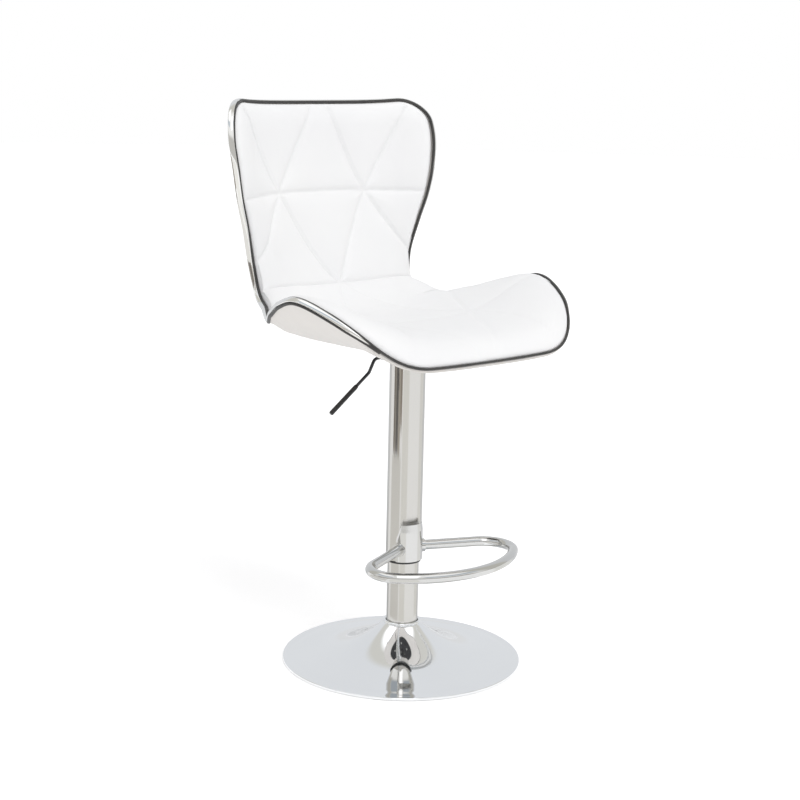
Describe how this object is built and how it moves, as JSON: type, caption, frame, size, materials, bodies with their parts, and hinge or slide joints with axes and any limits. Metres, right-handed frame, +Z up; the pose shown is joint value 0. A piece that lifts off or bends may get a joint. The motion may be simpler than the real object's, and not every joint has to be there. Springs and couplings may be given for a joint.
{
  "type": "adjustable swivel stool",
  "caption": "Height-adjustable swivel stool: quilted bucket seat and back on a telescoping chromed column with looped footrest and trumpet base.",
  "frame": {"origin": "centre of the round base on the column's axis, in the plane of the underside of the rubber foot ring, which is the floor", "axes": "+Z up along the column; the sitter faces -Y, so the back rest is towards +Y; +X is the sitter's left and the lift lever is on -X"},
  "size_m": [0.5086, 0.4487, 0.8815],
  "materials": {
    "chrome_base": "mirror chrome",
    "chrome_column": "polished chrome",
    "chrome_footrest": "polished chrome",
    "chrome_trim": "bright plated strip",
    "rubber_foot": "matte rubber",
    "cast_ballast": "rough painted",
    "plain_steel": "plain",
    "zinc_fastener": "zinc plated",
    "nylon_black": "moulded",
    "bearing_steel": "ground",
    "cage_brass": "stamped",
    "piston_metal": "machined",
    "black_paint": "satin black",
    "black_screw": "black oxide",
    "insert_brass": "plain",
    "moulded_ply": "raw plywood",
    "white_leather": "smooth white faux leather",
    "white_leather_rear": "smooth white faux leather",
    "black_piping": "black cord piping",
    "lever_steel": "satin black",
    "grip_rubber": "moulded sleeve"
  },
  "bodies": {
    "base": {"base_shell": "chrome_base", "foot_ring": "rubber_foot", "ballast_plate": "cast_ballast", "hub_sleeve": "plain_steel", "base_plug": "plain_steel", "base_screws": "zinc_fastener", "lower_tube": "chrome_column", "guide_bush": "nylon_black", "lower_race": "bearing_steel"},
    "bearing": {"bearing_cage": "cage_brass", "bearing_balls": "bearing_steel"},
    "rod": {"piston_rod": "bearing_steel", "upper_race": "bearing_steel", "piston": "piston_metal", "rod_clip": "plain_steel"},
    "seat_column": {"upper_tube": "chrome_column", "gas_cylinder": "black_paint", "cylinder_gland": "piston_metal", "mouth_bush": "nylon_black", "tube_cap": "plain_steel", "footrest_saddle": "chrome_footrest", "footrest_ring": "chrome_footrest", "footrest_flanges": "chrome_footrest", "footrest_screws": "black_screw", "seat_plate": "black_paint", "lift_housing": "black_paint", "taper_hub": "plain_steel", "lever_pin": "zinc_fastener", "seat_bolts": "zinc_fastener", "bolt_washers": "zinc_fastener", "threaded_inserts": "insert_brass", "shell_core": "moulded_ply", "front_pad": "white_leather", "rear_pad": "white_leather_rear", "edge_trim": "chrome_trim", "front_piping": "black_piping", "rear_piping": "black_piping"},
    "lever": {"lever_rod": "lever_steel", "lever_grip": "grip_rubber"},
    "button": {"valve_button": "bearing_steel"}
  },
  "joints": [
    {"name": "swivel", "type": "hinge", "parent": "base", "child": "rod", "pos_m": [0, 0, 0.03], "axis": [0, 0, 1], "continuous": true},
    {"name": "bearing_turn", "type": "hinge", "parent": "base", "child": "bearing", "pos_m": [0, 0, 0.025], "axis": [0, 0, 1], "continuous": true},
    {"name": "height", "type": "slide", "parent": "rod", "child": "seat_column", "axis": [0, 0, 1], "range_m": [0, 0.2]},
    {"name": "lever_turn", "type": "hinge", "parent": "seat_column", "child": "lever", "pos_m": [-0.026, 0, 0.4995], "axis": [0, 1, 0], "range_deg": [0, 9], "stiffness_Nm_per_rad": 1.5, "springref_deg": -5.73},
    {"name": "button_press", "type": "slide", "parent": "seat_column", "child": "button", "axis": [0, 0, -1], "range_m": [0, 0.0055]}
  ],
  "couplings": [
    {"joint": "bearing_turn", "follows": "swivel", "ratio": 0.5},
    {"joint": "button_press", "follows": "lever_turn", "m_per_rad": 0.031}
  ]
}
